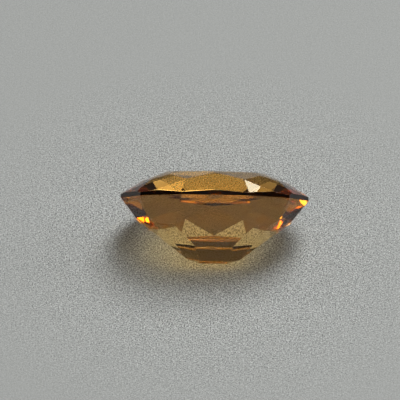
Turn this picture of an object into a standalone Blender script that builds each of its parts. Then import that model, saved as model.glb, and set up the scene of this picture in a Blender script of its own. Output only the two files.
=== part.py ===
"""A cut heliodor: one faceted oval gemstone, lying on a long side of its pavilion.

The stone is cut upright first, in millimetres, with its length along X, its width along Y,
its table facing up and Z = 0 half way up the girdle. It is then turned onto its resting
facet, set down on Z = 0 and scaled to metres.

A direction is the compass bearing that a facet faces, seen from above the table: 0 is the
end of the stone at +X and 90 is the long side at +Y. A slope is the angle between a facet
and the girdle's plane. The directions named below fill one quarter of the stone, and the
other three quarters mirror it.
"""
import math

import bmesh
import bpy
from mathutils import Matrix, Vector, geometry

# The oval that the girdle is cut to, in millimetres
LENGTH = 12.0
WIDTH = 9.6
OUTLINE_POWER = 2.1
GIRDLE_THICKNESS = 0.35

# The crown: heights in millimetres, and the slopes of its kites and stars by direction
CROWN_HEIGHT = 1.4
KITES = {0: 30.5, 23: 30.2, 60: 29.0, 90: 27.7}
STARS = {11.5: 22.0, 41.5: 21.5, 75: 19.5}
KITE_CORNER_SHARE = 0.56

# The pavilion's two tiers: slopes by direction, and a line in millimetres, in from the oval
# and down from the girdle's middle, through which every facet of the keel tier passes
GIRDLE_TIER = {0: 51.8, 32.5: 55.8, 60: 52.4, 90: 43.0}
KEEL_TIER = {0: 37.2, 32.5: 36.0, 60: 34.1, 90: 33.2}
KEEL_TIER_INSET = 3.64
KEEL_TIER_DEPTH = 3.46

# The rough block stands this far above and below the girdle, as a share of the length
BLOCK_REACH = 0.5

# The stone lies on the girdle tier's facet that faces this direction
RESTING_DIRECTION = 90

# Two faces or corners closer than this are one, in millimetres
MERGE = 0.00001
METRES_PER_MM = 0.001

HELIODOR = {"colour": (0.78, 0.50, 0.09, 1.0), "roughness": 0.03, "ior": 1.575}


def all_round(quarter):
    """The directions of one quarter, mirrored into the other three and put in order."""
    mirrored = set()
    for direction in quarter:
        mirrored |= {direction, 180 - direction, 180 + direction, (360 - direction) % 360}
    return sorted(mirrored)


def in_quarter(direction):
    """The direction in the first quarter that a direction all round the stone mirrors."""
    folded = direction % 180
    return min(folded, 180 - folded)


def bearing(direction):
    """The level unit vector that points in a direction."""
    angle = math.radians(direction)
    return Vector((math.cos(angle), math.sin(angle), 0.0))


def outline_point(direction, height):
    """The point of the outline where its edge faces a direction."""
    cosine, sine, _ = bearing(direction)
    half_length = LENGTH / 2
    half_width = WIDTH / 2
    power = OUTLINE_POWER / (OUTLINE_POWER - 1)
    across = (half_length * abs(cosine)) ** power + (half_width * abs(sine)) ** power
    stretch = across ** (1 / power - 1)
    x = math.copysign(half_length ** power * abs(cosine) ** (power - 1) * stretch, cosine)
    y = math.copysign(half_width ** power * abs(sine) ** (power - 1) * stretch, sine)
    return Vector((x, y, height))


def crown_normal(direction, slope):
    """The outward normal of a facet above the girdle."""
    lean = math.radians(slope)
    return bearing(direction) * math.sin(lean) + Vector((0, 0, math.cos(lean)))


def pavilion_normal(direction, slope):
    """The outward normal of a facet below the girdle."""
    lean = math.radians(slope)
    return bearing(direction) * math.sin(lean) - Vector((0, 0, math.cos(lean)))


def meeting_point(first, second, height):
    """Where two planes, each a point and a normal, cross a level plane."""
    start, along = geometry.intersect_plane_plane(*first, *second)
    level = Vector((0, 0, height))
    return geometry.intersect_line_plane(start, start + along, level, Vector((0, 0, 1)))


def plane_through(first, second, third):
    """The plane of three points of the crown, facing up."""
    normal = geometry.normal(first, second, third)
    if normal.z < 0:
        normal.negate()
    return first, normal


def girdle_planes():
    """Upright facets all round the stone, one over each facet of the pavilion's upper tier."""
    return [(outline_point(facing, 0), bearing(facing)) for facing in all_round(GIRDLE_TIER)]


def crown_planes():
    """The table, the kites, and the two breaks and the star between each two kites."""
    girdle_top = GIRDLE_THICKNESS / 2
    table_height = girdle_top + CROWN_HEIGHT
    corner_height = girdle_top + CROWN_HEIGHT * KITE_CORNER_SHARE
    planes = [(Vector((0, 0, table_height)), Vector((0, 0, 1)))]
    directions = all_round(KITES)
    kites = {}
    for direction in directions:
        tip = outline_point(direction, girdle_top)
        kites[direction] = (tip, crown_normal(direction, KITES[in_quarter(direction)]))
    planes += kites.values()
    for direction, following in zip(directions, directions[1:] + directions[:1]):
        halfway = direction + ((following - direction) % 360) / 2
        middle = outline_point(halfway, girdle_top)
        corner = meeting_point(kites[direction], kites[following], corner_height)
        planes.append(plane_through(kites[direction][0], middle, corner))
        planes.append(plane_through(middle, kites[following][0], corner))
        planes.append((corner, crown_normal(halfway, STARS[in_quarter(halfway)])))
    return planes


def pavilion_planes():
    """The tier that starts at the girdle, and the flatter tier that closes on the keel."""
    planes = []
    for direction in all_round(GIRDLE_TIER):
        slope = GIRDLE_TIER[in_quarter(direction)]
        start = outline_point(direction, -GIRDLE_THICKNESS / 2)
        planes.append((start, pavilion_normal(direction, slope)))
    for direction in all_round(KEEL_TIER):
        slope = KEEL_TIER[in_quarter(direction)]
        edge = outline_point(direction, -KEEL_TIER_DEPTH)
        start = edge - bearing(direction) * KEEL_TIER_INSET
        planes.append((start, pavilion_normal(direction, slope)))
    return planes


def rough_block():
    """A plain block, larger than the stone, from which the stone is cut."""
    block = bmesh.new()
    bmesh.ops.create_cube(block, size=2 * BLOCK_REACH * LENGTH)
    bmesh.ops.scale(block, vec=(1 / BLOCK_REACH, 1 / BLOCK_REACH, 1), verts=block.verts)
    return block


def grind_facet(stone, point, normal):
    """Cut away what lies outside a plane, and close the stone with the new flat facet."""
    everything = stone.verts[:] + stone.edges[:] + stone.faces[:]
    cut = bmesh.ops.bisect_plane(
        stone,
        geom=everything,
        dist=MERGE,
        plane_co=point,
        plane_no=normal,
        clear_outer=True,
    )
    rim = [item for item in cut["geom_cut"] if isinstance(item, bmesh.types.BMEdge)]
    bmesh.ops.edgeloop_fill(stone, edges=rim)


def lay_down(stone):
    """Turn the stone onto its resting facet, centre it over the origin and set it on Z = 0."""
    resting = pavilion_normal(RESTING_DIRECTION, GIRDLE_TIER[RESTING_DIRECTION])
    turn = resting.rotation_difference(Vector((0, 0, -1))).to_matrix().to_4x4()
    stone.transform(turn)
    lowest = Vector(min(corner.co[axis] for corner in stone.verts) for axis in range(3))
    highest = Vector(max(corner.co[axis] for corner in stone.verts) for axis in range(3))
    middle = (lowest + highest) / 2
    stone.transform(Matrix.Translation((-middle.x, -middle.y, -lowest.z)))
    stone.transform(Matrix.Scale(METRES_PER_MM, 4))


def heliodor_material():
    """Clear honey-yellow beryl."""
    material = bpy.data.materials.new("heliodor")
    material.use_nodes = True
    shader = material.node_tree.nodes["Principled BSDF"]
    shader.inputs["Base Color"].default_value = HELIODOR["colour"]
    shader.inputs["Roughness"].default_value = HELIODOR["roughness"]
    shader.inputs["Metallic"].default_value = 0.0
    shader.inputs["IOR"].default_value = HELIODOR["ior"]
    shader.inputs["Transmission Weight"].default_value = 1.0
    return material


def cut_stone():
    """The finished stone as one named object."""
    stone = rough_block()
    for point, normal in girdle_planes() + crown_planes() + pavilion_planes():
        grind_facet(stone, point, normal)
    lay_down(stone)
    bmesh.ops.recalc_face_normals(stone, faces=stone.faces)
    mesh = bpy.data.meshes.new("cut_stone")
    stone.to_mesh(mesh)
    stone.free()
    mesh.materials.append(heliodor_material())
    return bpy.data.objects.new("cut_stone", mesh)


def main():
    """Clear the scene and build the stone in a collection of its own."""
    for old in list(bpy.data.objects):
        bpy.data.objects.remove(old, do_unlink=True)
    collection = bpy.data.collections.new("heliodor_gemstone")
    bpy.context.scene.collection.children.link(collection)
    collection.objects.link(cut_stone())


if __name__ == "__main__":
    main()
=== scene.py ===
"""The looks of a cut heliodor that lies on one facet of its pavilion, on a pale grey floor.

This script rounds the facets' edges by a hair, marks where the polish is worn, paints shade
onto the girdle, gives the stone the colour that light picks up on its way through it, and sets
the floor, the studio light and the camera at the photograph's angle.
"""
import logging
import math
from dataclasses import dataclass, field
from enum import Enum

import bmesh
import bpy
from mathutils import Matrix, Vector


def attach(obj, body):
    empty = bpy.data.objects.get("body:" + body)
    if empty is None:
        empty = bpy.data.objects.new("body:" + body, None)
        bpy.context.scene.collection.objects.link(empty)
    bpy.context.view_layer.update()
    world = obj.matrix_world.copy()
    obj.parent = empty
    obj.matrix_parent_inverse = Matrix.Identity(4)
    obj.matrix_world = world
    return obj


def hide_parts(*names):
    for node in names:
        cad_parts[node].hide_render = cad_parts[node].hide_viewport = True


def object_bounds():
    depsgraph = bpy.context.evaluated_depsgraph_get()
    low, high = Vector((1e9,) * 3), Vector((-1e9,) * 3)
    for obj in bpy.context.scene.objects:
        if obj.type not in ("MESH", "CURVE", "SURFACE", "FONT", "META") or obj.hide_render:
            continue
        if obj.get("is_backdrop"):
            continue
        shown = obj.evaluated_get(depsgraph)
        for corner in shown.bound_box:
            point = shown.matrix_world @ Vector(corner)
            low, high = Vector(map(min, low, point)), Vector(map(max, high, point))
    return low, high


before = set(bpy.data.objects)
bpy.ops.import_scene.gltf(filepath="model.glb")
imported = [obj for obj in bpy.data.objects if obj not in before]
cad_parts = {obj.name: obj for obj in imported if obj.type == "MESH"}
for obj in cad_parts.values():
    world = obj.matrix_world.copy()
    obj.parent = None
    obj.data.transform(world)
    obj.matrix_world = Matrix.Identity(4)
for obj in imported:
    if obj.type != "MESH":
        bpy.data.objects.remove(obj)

MM = 0.001
UP = Vector((0, 0, 1))

log = logging.getLogger("heliodor")


class Mask(Enum):
    """The attributes that mark each face of the stone as worn, matt or under the girdle's painted
    shade.
    """

    WORN_EDGE = "worn_edge"
    GIRDLE = "girdle"


@dataclass(frozen=True)
class Socket:
    """One input or output of a node tree: its name, kind and value when nothing is plugged in."""

    name: str
    kind: str
    value: float | None = None


def add_sockets(tree: bpy.types.NodeTree, sockets: list[Socket], side: str) -> None:
    """Give a node tree its named inputs or outputs.

    Args:
        tree: The tree that gets them.
        sockets: What to add, in order.
        side: INPUT or OUTPUT.
    """
    for socket in sockets:
        made = tree.interface.new_socket(socket.name, in_out=side, socket_type=socket.kind)
        if socket.value is not None:
            made.default_value = socket.value


def place_group(
    tree: bpy.types.NodeTree, group: bpy.types.NodeTree, values: dict[str, float]
) -> bpy.types.Node:
    """Place a shader group in a material.

    Args:
        tree: The material's node tree.
        group: The group to place.
        values: The group's inputs by name.

    Returns:
        The group's node.
    """
    node = tree.nodes.new("ShaderNodeGroup")
    node.node_tree = group
    for name, value in values.items():
        node.inputs[name].default_value = value
    return node


def math_node(
    tree: bpy.types.NodeTree, operation: str, first: object, second: object
) -> bpy.types.NodeSocket:
    """Join two values, each a socket or a number, by one step of arithmetic.

    Args:
        tree: The tree that the step is added to.
        operation: The Math node's operation.
        first: The first value.
        second: The second value.

    Returns:
        The socket that carries the result.
    """
    node = tree.nodes.new("ShaderNodeMath")
    node.operation = operation
    for slot, value in zip(node.inputs, (first, second)):
        if isinstance(value, bpy.types.NodeSocket):
            tree.links.new(value, slot)
        else:
            slot.default_value = value
    return node.outputs[0]


def fine_grain_group() -> bpy.types.NodeTree:
    """Make the shader group for a fine random grain, which the floor and the stone share.

    Returns:
        A group that puts out the grain as a value from 0 to 1, and a softer cloudy value.
    """
    tree = bpy.data.node_groups.new("fine_grain", "ShaderNodeTree")
    sizes = [Socket("Grain per Metre", "NodeSocketFloat", 5000.0)]
    sizes += [Socket("Cloud per Metre", "NodeSocketFloat", 200.0)]
    add_sockets(tree, sizes, "INPUT")
    values = [Socket("Grain", "NodeSocketFloat"), Socket("Cloud", "NodeSocketFloat")]
    add_sockets(tree, values, "OUTPUT")
    enter = tree.nodes.new("NodeGroupInput")
    leave = tree.nodes.new("NodeGroupOutput")
    place = tree.nodes.new("ShaderNodeTexCoord")
    for name, detail in (("Grain", 3.0), ("Cloud", 2.0)):
        noise = tree.nodes.new("ShaderNodeTexNoise")
        noise.inputs["Detail"].default_value = detail
        noise.inputs["Roughness"].default_value = 0.6
        tree.links.new(place.outputs["Object"], noise.inputs["Vector"])
        tree.links.new(enter.outputs[name + " per Metre"], noise.inputs["Scale"])
        tree.links.new(noise.outputs["Fac"], leave.inputs[name])
    return tree


@dataclass(frozen=True)
class HeliodorFinish:
    """Clear golden beryl: polished facets, slightly worn edges, a finely frosted girdle with painted
    shade.
    """

    name: str = "heliodor"
    ior: float = 1.575
    surface: tuple[float, float, float] = (1.0, 1.0, 1.0)
    # Near-black painted shade for the girdle, standing in for the shade that darkens it.
    girdle_painted_shade: tuple[float, float, float] = (0.003, 0.0008, 0.0005)
    absorbed: tuple[float, float, float] = (0.942, 0.68, 0.02)
    absorbed_per_metre: float = 222.0
    polish: float = 0.0
    haze: float = 0.012
    worn: float = 0.22
    girdle: float = 0.14
    scratches_per_metre: float = 30000.0
    haze_per_metre: float = 900.0
    bump: float = 0.02
    bump_height: float = 0.000002

    def material(self, grain: bpy.types.NodeTree) -> bpy.types.Material:
        """Make the material.

        Args:
            grain: The shared fine grain group.

        Returns:
            A see-through material, coloured by absorption inside it and painted shade on the girdle.
        """
        material = bpy.data.materials.new(self.name)
        material.use_nodes = True
        tree = material.node_tree
        shader = tree.nodes["Principled BSDF"]
        shader.inputs["IOR"].default_value = self.ior
        shader.inputs["Metallic"].default_value = 0.0
        shader.inputs["Transmission Weight"].default_value = 1.0
        tree.links.new(self._surface(tree), shader.inputs["Base Color"])
        speckle = place_group(
            tree,
            grain,
            {"Grain per Metre": self.scratches_per_metre, "Cloud per Metre": self.haze_per_metre},
        )
        tree.links.new(self._roughness(tree, speckle), shader.inputs["Roughness"])
        tree.links.new(self._bump(tree, speckle), shader.inputs["Normal"])
        inside = tree.nodes.new("ShaderNodeVolumeAbsorption")
        inside.inputs["Color"].default_value = (*self.absorbed, 1.0)
        inside.inputs["Density"].default_value = self.absorbed_per_metre
        output = tree.nodes["Material Output"]
        tree.links.new(inside.outputs["Volume"], output.inputs["Volume"])
        return material

    def _mask(self, tree: bpy.types.NodeTree, mask: Mask) -> bpy.types.NodeSocket:
        """The socket that carries one of the stone's masks."""
        read = tree.nodes.new("ShaderNodeAttribute")
        read.attribute_name = mask.value
        return read.outputs["Fac"]

    def _surface(self, tree: bpy.types.NodeTree) -> bpy.types.NodeSocket:
        """Work out how the surface tints light: not at all, but near-black painted shade on the
        girdle.

        Args:
            tree: The material's node tree.

        Returns:
            The socket that carries the colour.
        """
        tint = tree.nodes.new("ShaderNodeMix")
        tint.data_type = "RGBA"
        tint.inputs["A"].default_value = (*self.surface, 1.0)
        # The girdle gets the near-black painted shade in place of a colour of its own.
        tint.inputs["B"].default_value = (*self.girdle_painted_shade, 1.0)
        tree.links.new(self._mask(tree, Mask.GIRDLE), tint.inputs["Factor"])
        return tint.outputs["Result"]

    def _roughness(
        self, tree: bpy.types.NodeTree, speckle: bpy.types.Node
    ) -> bpy.types.NodeSocket:
        """Work out the roughness: polished facets, worn edges and a frosted girdle.

        Args:
            tree: The material's node tree.
            speckle: The fine grain group's node.

        Returns:
            The socket that carries the roughness.
        """
        haze = math_node(tree, "POWER", speckle.outputs["Cloud"], 3.0)
        total = math_node(tree, "MULTIPLY_ADD", haze, self.haze)
        total.node.inputs[2].default_value = self.polish
        for mask, roughness in ((Mask.WORN_EDGE, self.worn), (Mask.GIRDLE, self.girdle)):
            share = math_node(tree, "MULTIPLY", self._mask(tree, mask), roughness)
            total = math_node(tree, "MAXIMUM", total, share)
        return total

    def _bump(self, tree: bpy.types.NodeTree, speckle: bpy.types.Node) -> bpy.types.NodeSocket:
        """Work out the surface's relief: grain on the worn faces and the frosted girdle only.

        Args:
            tree: The material's node tree.
            speckle: The fine grain group's node.

        Returns:
            The socket that carries the normal.
        """
        edge = self._mask(tree, Mask.WORN_EDGE)
        rough = math_node(tree, "MAXIMUM", edge, self._mask(tree, Mask.GIRDLE))
        height = math_node(tree, "MULTIPLY", speckle.outputs["Grain"], rough)
        bump = tree.nodes.new("ShaderNodeBump")
        bump.inputs["Strength"].default_value = self.bump
        bump.inputs["Distance"].default_value = self.bump_height
        tree.links.new(height, bump.inputs["Height"])
        return bump.outputs["Normal"]


@dataclass(frozen=True)
class FloorFinish:
    """A plain pale grey floor with a fine blasted grain, which fades away from the stone."""

    name: str = "pale_floor"
    dark: tuple[float, float, float] = (0.10, 0.105, 0.103)
    light: tuple[float, float, float] = (0.80, 0.83, 0.81)
    roughness: float = 0.55
    specular: float = 0.2
    grain_per_metre: float = 11500.0
    contrast: float = 4.2
    clear_within: float = 5.0 * MM
    faded_at: float = 19.0 * MM
    faded_share: float = 0.15
    bump: float = 0.25
    bump_height: float = 0.00003

    def material(self, grain: bpy.types.NodeTree) -> bpy.types.Material:
        """Make the material.

        Args:
            grain: The shared fine grain group.

        Returns:
            The floor's material.
        """
        material = bpy.data.materials.new(self.name)
        material.use_nodes = True
        tree = material.node_tree
        shader = tree.nodes["Principled BSDF"]
        shader.inputs["Roughness"].default_value = self.roughness
        shader.inputs["Specular IOR Level"].default_value = self.specular
        speckle = place_group(tree, grain, {"Grain per Metre": self.grain_per_metre})
        around_zero = math_node(tree, "SUBTRACT", speckle.outputs["Grain"], 0.5)
        share = math_node(tree, "MULTIPLY_ADD", around_zero, self._strength(tree))
        share.node.inputs[2].default_value = 0.5
        share.node.use_clamp = True
        colour = tree.nodes.new("ShaderNodeMix")
        colour.data_type = "RGBA"
        colour.inputs["A"].default_value = (*self.dark, 1.0)
        colour.inputs["B"].default_value = (*self.light, 1.0)
        tree.links.new(share, colour.inputs["Factor"])
        tree.links.new(colour.outputs["Result"], shader.inputs["Base Color"])
        bump = tree.nodes.new("ShaderNodeBump")
        bump.inputs["Strength"].default_value = self.bump
        bump.inputs["Distance"].default_value = self.bump_height
        tree.links.new(speckle.outputs["Grain"], bump.inputs["Height"])
        tree.links.new(bump.outputs["Normal"], shader.inputs["Normal"])
        return material

    def _strength(self, tree: bpy.types.NodeTree) -> bpy.types.NodeSocket:
        """Work out how strongly the grain shows at each distance from the stone.

        Args:
            tree: The material's node tree.

        Returns:
            The socket that carries the grain's contrast.
        """
        place = tree.nodes.new("ShaderNodeTexCoord")
        away = tree.nodes.new("ShaderNodeVectorMath")
        away.operation = "LENGTH"
        fade = tree.nodes.new("ShaderNodeMapRange")
        fade.inputs["From Min"].default_value = self.clear_within
        fade.inputs["From Max"].default_value = self.faded_at
        fade.inputs["To Min"].default_value = self.contrast
        fade.inputs["To Max"].default_value = self.contrast * self.faded_share
        tree.links.new(place.outputs["Object"], away.inputs[0])
        tree.links.new(away.outputs["Value"], fade.inputs["Value"])
        return fade.outputs["Result"]


@dataclass
class WearTree:
    """The Geometry Nodes tree that marks the stone's worn edges and its girdle.

    A face of the rounded stone is worn where it lies on an edge of the sharp stone, and
    belongs to the girdle where it stands square to the table.
    """

    name: str = "stone_wear"
    reach: float = 0.008 * MM
    girdle_lean: float = 3.0

    def build(self, finish: bpy.types.Material) -> bpy.types.NodeTree:
        """Build the tree.

        Args:
            finish: The material that the tree sets on every face.

        Returns:
            The finished tree, with named inputs for its sizes.
        """
        tree = bpy.data.node_groups.new(self.name, "GeometryNodeTree")
        inputs = [
            Socket("Geometry", "NodeSocketGeometry"),
            Socket("Sharp Stone", "NodeSocketObject"),
            Socket("Wear Reach", "NodeSocketFloat", self.reach),
            Socket("Table Normal", "NodeSocketVector"),
            Socket("Girdle Lean", "NodeSocketFloat", math.radians(self.girdle_lean)),
        ]
        add_sockets(tree, inputs, "INPUT")
        add_sockets(tree, [Socket("Geometry", "NodeSocketGeometry")], "OUTPUT")
        enter = tree.nodes.new("NodeGroupInput")
        leave = tree.nodes.new("NodeGroupOutput")
        marked = enter.outputs["Geometry"]
        marks = ((Mask.WORN_EDGE, self._worn(tree, enter)), (Mask.GIRDLE, self._girdle(tree, enter)))
        for mask, value in marks:
            store = tree.nodes.new("GeometryNodeStoreNamedAttribute")
            store.data_type = "FLOAT"
            store.domain = "FACE"
            store.inputs["Name"].default_value = mask.value
            tree.links.new(marked, store.inputs["Geometry"])
            tree.links.new(value, store.inputs["Value"])
            marked = store.outputs["Geometry"]
        realize = tree.nodes.new("GeometryNodeRealizeInstances")
        dress = tree.nodes.new("GeometryNodeSetMaterial")
        dress.inputs["Material"].default_value = finish
        tree.links.new(marked, realize.inputs["Geometry"])
        tree.links.new(realize.outputs["Geometry"], dress.inputs["Geometry"])
        tree.links.new(dress.outputs["Geometry"], leave.inputs["Geometry"])
        return tree

    def _worn(self, tree: bpy.types.NodeTree, enter: bpy.types.Node) -> bpy.types.NodeSocket:
        """Find the faces whose middle lies on an edge of the sharp stone.

        Args:
            tree: The tree that is being built.
            enter: Its input node.

        Returns:
            A field that is 1 on the worn faces.
        """
        sharp = tree.nodes.new("GeometryNodeObjectInfo")
        nearest = tree.nodes.new("GeometryNodeProximity")
        nearest.target_element = "EDGES"
        close = tree.nodes.new("FunctionNodeCompare")
        close.operation = "LESS_THAN"
        tree.links.new(enter.outputs["Sharp Stone"], sharp.inputs["Object"])
        tree.links.new(sharp.outputs["Geometry"], nearest.inputs["Geometry"])
        tree.links.new(nearest.outputs["Distance"], close.inputs["A"])
        tree.links.new(enter.outputs["Wear Reach"], close.inputs["B"])
        return close.outputs["Result"]

    def _girdle(self, tree: bpy.types.NodeTree, enter: bpy.types.Node) -> bpy.types.NodeSocket:
        """Find the faces that stand square to the table.

        Args:
            tree: The tree that is being built.
            enter: Its input node.

        Returns:
            A field that is 1 on the girdle.
        """
        facing = tree.nodes.new("GeometryNodeInputNormal")
        dot = tree.nodes.new("ShaderNodeVectorMath")
        dot.operation = "DOT_PRODUCT"
        size = tree.nodes.new("ShaderNodeMath")
        size.operation = "ABSOLUTE"
        square = tree.nodes.new("FunctionNodeCompare")
        square.operation = "LESS_THAN"
        tree.links.new(facing.outputs["Normal"], dot.inputs[0])
        tree.links.new(enter.outputs["Table Normal"], dot.inputs[1])
        tree.links.new(dot.outputs["Value"], size.inputs[0])
        tree.links.new(size.outputs[0], square.inputs["A"])
        tree.links.new(enter.outputs["Girdle Lean"], square.inputs["B"])
        return square.outputs["Result"]


@dataclass
class CutStone:
    """The gemstone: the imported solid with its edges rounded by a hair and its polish."""

    node: str = "cut_stone"
    slot: str = "heliodor"
    merge: float = 0.0005 * MM
    flat: float = 0.2
    edge_width: float = 0.012 * MM
    edge_angle: float = 4.0
    finish: HeliodorFinish = field(default_factory=HeliodorFinish)
    wear: WearTree = field(default_factory=WearTree)

    def facets(self) -> bpy.types.Mesh:
        """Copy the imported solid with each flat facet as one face.

        Returns:
            A closed mesh, in the row frame.
        """
        stone = bmesh.new()
        stone.from_mesh(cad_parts[self.node].data)
        bmesh.ops.remove_doubles(stone, verts=stone.verts, dist=self.merge)
        bmesh.ops.dissolve_limit(
            stone,
            angle_limit=math.radians(self.flat),
            verts=stone.verts,
            edges=stone.edges,
        )
        mesh = bpy.data.meshes.new(self.node + "_facets")
        stone.to_mesh(mesh)
        stone.free()
        mesh.materials.clear()
        return mesh

    def table_normal(self, facets: bpy.types.Mesh) -> Vector:
        """The direction that the table, the stone's largest facet, faces."""
        return max(facets.polygons, key=lambda facet: facet.area).normal.copy()

    def girdle_centre(self, facets: bpy.types.Mesh) -> Vector:
        """Find the middle of the girdle.

        Args:
            facets: The sharp stone.

        Returns:
            The middle of the box, square to the table, that just holds the two end facets.
        """
        up = self.table_normal(facets)
        across = Vector((1, 0, 0))
        axes = (across, up.cross(across), up)
        reach = max(corner.co.x for corner in facets.vertices)
        ends = [c.co for c in facets.vertices if abs(c.co.x) > reach - self.merge]
        centre = Vector()
        for axis in axes:
            along = [corner.dot(axis) for corner in ends]
            centre += axis * (min(along) + max(along)) / 2
        return centre

    def build(self, grain: bpy.types.NodeTree, facets: bpy.types.Mesh) -> bpy.types.Object:
        """Round the edges, mark the wear and finish the stone.

        Args:
            grain: The shared fine grain group.
            facets: The sharp stone.

        Returns:
            The finished stone, at the origin, unturned and unscaled.
        """
        sharp = bpy.data.objects.new("sharp_stone", facets)
        rough = bpy.data.objects.new("rough_stone", facets.copy())
        for made in (sharp, rough):
            bpy.context.scene.collection.objects.link(made)
        rounding = rough.modifiers.new("rounding", "BEVEL")
        rounding.width = self.edge_width
        rounding.segments = 2
        rounding.limit_method = "ANGLE"
        rounding.angle_limit = math.radians(self.edge_angle)
        tree = self.wear.build(self.finish.material(grain))
        wear = rough.modifiers.new("wear", "NODES")
        wear.node_group = tree
        values = {"Sharp Stone": sharp, "Table Normal": self.table_normal(facets)}
        for item in tree.interface.items_tree:
            if item.in_out == "INPUT" and item.name in values:
                wear[item.identifier] = values[item.name]
        evaluated = rough.evaluated_get(bpy.context.evaluated_depsgraph_get())
        mesh = bpy.data.meshes.new_from_object(evaluated)
        for made in (sharp, rough):
            bpy.data.objects.remove(made)
        mesh.name = "gemstone"
        stone = bpy.data.objects.new("gemstone", mesh)
        bpy.context.scene.collection.objects.link(stone)
        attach(stone, "root")
        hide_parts(self.node)
        return stone


@dataclass(frozen=True)
class StudioLight:
    """One soft round panel that faces the stone.

    Its bearing is counted in degrees from straight behind the stone, as the camera sees it,
    towards the right, and its height in degrees above the floor.
    """

    name: str
    bearing: float
    height: float
    watts: float
    width: float = 0.1
    distance: float = 0.5
    colour: tuple[float, float, float] = (1.0, 1.0, 1.0)

    def build(self, target: Vector) -> bpy.types.Object:
        """Place the light.

        Args:
            target: The point that the panel faces.

        Returns:
            The light.
        """
        data = bpy.data.lights.new(self.name, "AREA")
        data.shape = "DISK"
        data.size = self.width
        data.energy = self.watts
        data.color = self.colour
        lamp = bpy.data.objects.new(self.name, data)
        bearing, height = math.radians(self.bearing), math.radians(self.height)
        level = Vector((math.sin(bearing), math.cos(bearing), 0))
        away = level * math.cos(height) + UP * math.sin(height)
        lamp.location = target + away * self.distance
        lamp.rotation_euler = away.to_track_quat("Z", "Y").to_euler()
        bpy.context.scene.collection.objects.link(lamp)
        return lamp


@dataclass
class Studio:
    """The floor, the lights and the room's dim glow, brighter behind the stone."""

    floor_size: float = 2.0
    air_film: float = 0.01 * MM
    glow: tuple[float, float, float] = (0.075, 0.058, 0.045)
    front_share: float = 0.0
    back_share: float = 1.0
    finish: FloorFinish = field(default_factory=FloorFinish)
    lights: tuple[StudioLight, ...] = (
        StudioLight("top_panel", 50.0, 83.0, 0.48, 0.20),
        StudioLight("back_panel", 36.0, 63.0, 1.34, 0.28),
        StudioLight("side_panel", 80.0, 29.0, 0.22, 0.28),
        StudioLight("left_panel", -80.0, 29.0, 0.09, 0.28),
        StudioLight("front_panel", 180.0, 36.0, 0.14, 0.05),
        StudioLight("top_left_lamp", -150.0, 75.0, 0.05, 0.05),
        StudioLight("top_right_lamp", 150.0, 75.0, 0.05, 0.05),
        StudioLight("left_lamp", -54.0, 57.0, 0.05, 0.035),
        StudioLight("front_left_lamp", -157.5, 37.0, 0.03, 0.03),
        StudioLight("low_lamp", 9.6, 10.9, 0.012, 0.03, colour=(1.0, 0.92, 0.68)),
    )

    def floor(self, grain: bpy.types.NodeTree) -> bpy.types.Object:
        """Lay the floor that the stone lies on.

        Args:
            grain: The shared fine grain group.

        Returns:
            The floor.
        """
        sheet = bmesh.new()
        bmesh.ops.create_grid(sheet, x_segments=8, y_segments=8, size=self.floor_size / 2)
        bmesh.ops.translate(sheet, verts=sheet.verts, vec=-UP * self.air_film)
        mesh = bpy.data.meshes.new("floor")
        sheet.to_mesh(mesh)
        sheet.free()
        mesh.materials.append(self.finish.material(grain))
        floor = bpy.data.objects.new("floor", mesh)
        bpy.context.scene.collection.objects.link(floor)
        floor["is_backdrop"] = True
        return floor

    def room(self) -> bpy.types.World:
        """Set the room's glow, which rises from the camera's side to the far side.

        Returns:
            The world.
        """
        world = bpy.data.worlds.new("studio")
        bpy.context.scene.world = world
        world.use_nodes = True
        tree = world.node_tree
        place = tree.nodes.new("ShaderNodeTexCoord")
        split = tree.nodes.new("ShaderNodeSeparateXYZ")
        rise = tree.nodes.new("ShaderNodeMapRange")
        rise.inputs["From Min"].default_value = -1.0
        rise.inputs["From Max"].default_value = 1.0
        rise.inputs["To Min"].default_value = self.front_share
        rise.inputs["To Max"].default_value = self.back_share
        shine = tree.nodes["Background"]
        shine.inputs["Color"].default_value = (*self.glow, 1.0)
        tree.links.new(place.outputs["Generated"], split.inputs[0])
        tree.links.new(split.outputs["Y"], rise.inputs["Value"])
        tree.links.new(rise.outputs["Result"], shine.inputs["Strength"])
        return world

    def build(self, grain: bpy.types.NodeTree, target: Vector) -> None:
        """Set up the studio.

        Args:
            grain: The shared fine grain group.
            target: The point that the lights face.
        """
        self.floor(grain)
        self.room()
        for light in self.lights:
            light.build(target)


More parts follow.
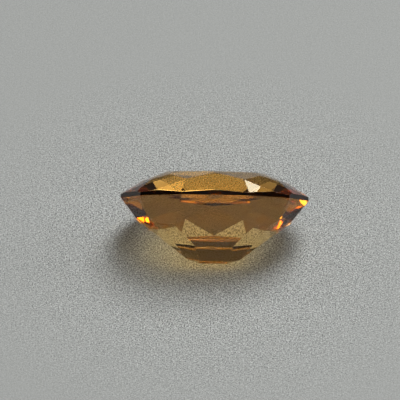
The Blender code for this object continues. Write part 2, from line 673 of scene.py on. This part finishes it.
@dataclass(frozen=True)
class PhotoCamera:
    """The photograph's viewpoint, set from where the stone's girdle stands in its frame."""

    frame_pixels: float = 400.0
    stone_pixels: float = 187.0
    girdle_pixel: tuple[float, float] = (214.6, 198.1)
    turn: float = 0.0
    below_girdle: float = 4.5
    roll: float = 1.0
    lens: float = 360.0
    sensor: float = 36.0

    def build(self, centre: Vector, table: Vector, stone_length: float) -> bpy.types.Object:
        """Place the camera across the stone's length, a little below the girdle's plane.

        Args:
            centre: The middle of the girdle.
            table: The direction that the table faces.
            stone_length: The stone's length, which gives the frame's scale.

        Returns:
            The camera.
        """
        across = Vector((1, 0, 0))
        ahead = table.cross(across)
        turned = Matrix.Rotation(math.radians(self.turn), 3, table)
        ahead, across = turned @ ahead, turned @ across
        tipped = Matrix.Rotation(math.radians(self.below_girdle), 3, across)
        ahead, upward = tipped @ ahead, tipped @ table
        rolled = Matrix.Rotation(math.radians(-self.roll), 3, ahead)
        across, upward = rolled @ across, rolled @ upward
        pixel = stone_length / self.stone_pixels
        middle = self.frame_pixels / 2
        aim = centre + across * (middle - self.girdle_pixel[0]) * pixel
        aim -= upward * (middle - self.girdle_pixel[1]) * pixel
        distance = self.lens / self.sensor * self.frame_pixels * pixel
        data = bpy.data.cameras.new("camera")
        data.lens = self.lens
        data.sensor_width = self.sensor
        data.clip_start = distance / 10
        data.clip_end = distance * 20
        camera = bpy.data.objects.new("camera", data)
        axes = Matrix((across, upward, -ahead)).transposed()
        camera.matrix_world = Matrix.Translation(aim - ahead * distance) @ axes.to_4x4()
        bpy.context.scene.collection.objects.link(camera)
        bpy.context.scene.camera = camera
        return camera


@dataclass(frozen=True)
class RenderQuality:
    """How far light is followed through the stone, and how its colours are shown."""

    bounces: int = 24
    diffuse_bounces: int = 3
    look: str = "Standard"

    def apply(self) -> None:
        """Set the scene's light paths and colour view."""
        scene = bpy.context.scene
        scene.cycles.max_bounces = self.bounces
        scene.cycles.transmission_bounces = self.bounces
        scene.cycles.glossy_bounces = self.bounces
        scene.cycles.diffuse_bounces = self.diffuse_bounces
        scene.view_settings.view_transform = self.look


def main() -> None:
    """Build the stone, the studio and the camera, and note the sizes."""
    logging.basicConfig(level=logging.INFO, format="%(name)s: %(message)s")
    cad_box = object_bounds()
    grain = fine_grain_group()
    stone = CutStone()
    facets = stone.facets()
    table = stone.table_normal(facets)
    centre = stone.girdle_centre(facets)
    built = stone.build(grain, facets)
    log.info("%s: %d faces", built.name, len(built.data.polygons))
    Studio().build(grain, centre)
    log.info("studio: floor, room and lights")
    lowest, highest = cad_box
    camera = PhotoCamera().build(centre, table, highest.x - lowest.x)
    log.info("%s: %.3f m from the stone", camera.name, (camera.location - centre).length)
    RenderQuality().apply()


if __name__ == "__main__":
    main()
